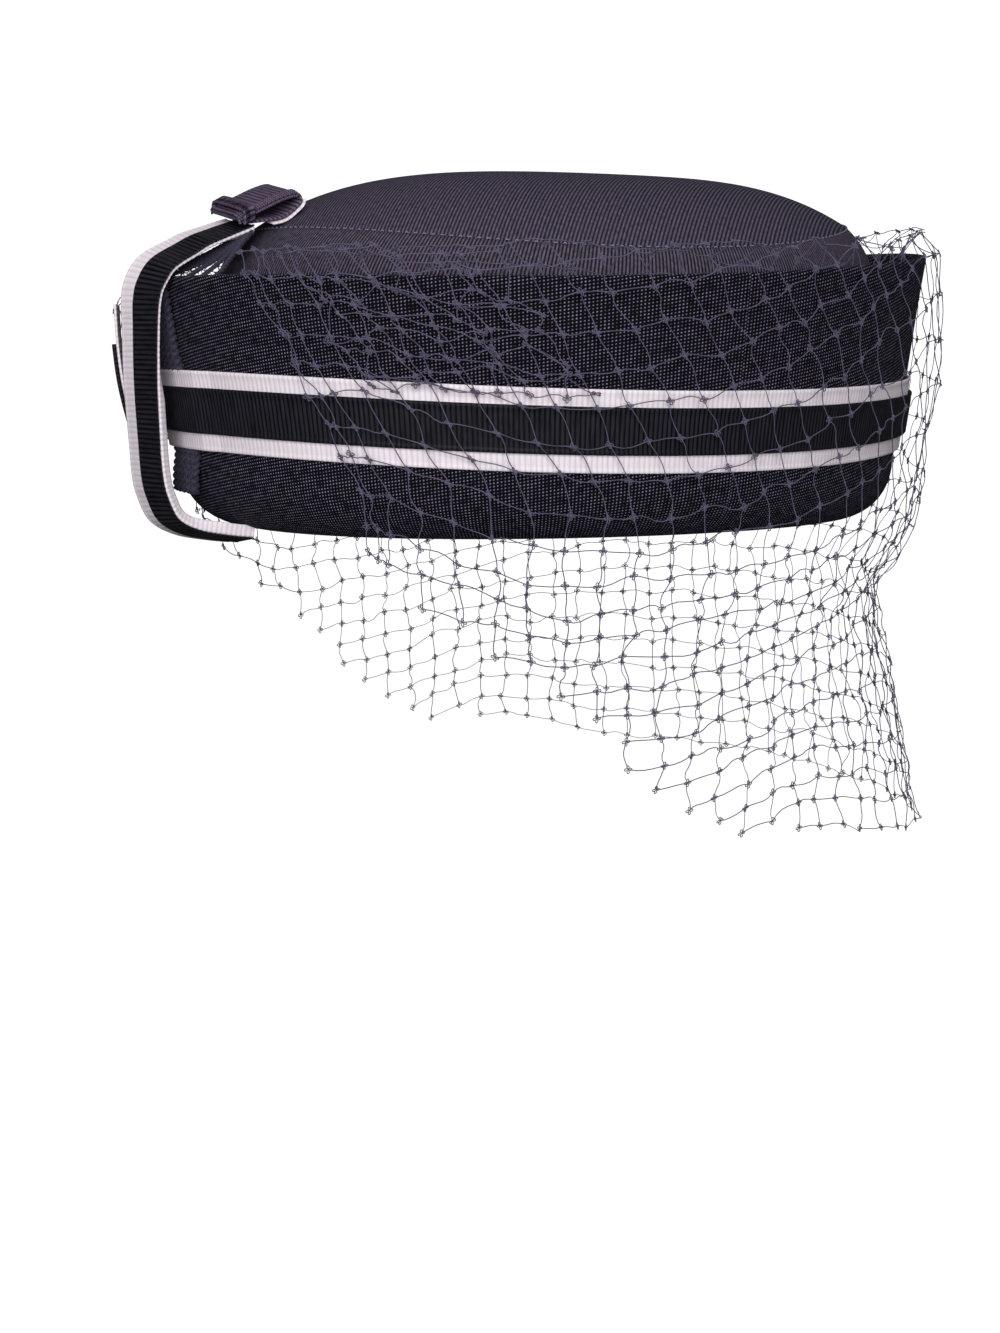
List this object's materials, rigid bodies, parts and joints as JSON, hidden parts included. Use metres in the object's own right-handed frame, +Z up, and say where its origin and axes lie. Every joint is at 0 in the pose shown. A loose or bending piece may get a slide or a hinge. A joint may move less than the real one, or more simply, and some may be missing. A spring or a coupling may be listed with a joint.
{
  "type": "pillbox hat with veil",
  "caption": "Oval pillbox hat with a deep turned-up cuff, a two-colour ribbon band, a front ribbon strip with a flat bow, and a diamond net veil open at the front.",
  "frame": {"origin": "centre of the head opening, in the plane of the rim, where the hat sits on a head", "axes": "+Z up through the crown, -Y towards the front with the bow, +X towards the wearer's left"},
  "size_m": [0.2164, 0.2699, 0.2043],
  "materials": {
    "navy_cloth": "matt coarse weave",
    "navy_tip_cloth": "matt fine weave",
    "white_grosgrain": "ribbed ribbon",
    "navy_grosgrain": "ribbed ribbon",
    "navy_braid": "plaited braid",
    "navy_net": "knotted net"
  },
  "bodies": {
    "root": {"cuff": "navy_cloth", "crown_side": "navy_cloth", "crown_tip": "navy_tip_cloth", "band_white_ribbon": "white_grosgrain", "band_navy_ribbon": "navy_grosgrain", "front_braid": "navy_braid", "front_white_ribbon": "white_grosgrain", "front_navy_ribbon": "navy_grosgrain", "bow_loop": "navy_grosgrain", "bow_white_ribbon": "white_grosgrain", "bow_wrap": "navy_braid", "tail_navy_ribbon": "navy_grosgrain", "tail_white_ribbon": "white_grosgrain", "veil": "navy_net"}
  },
  "joints": []
}
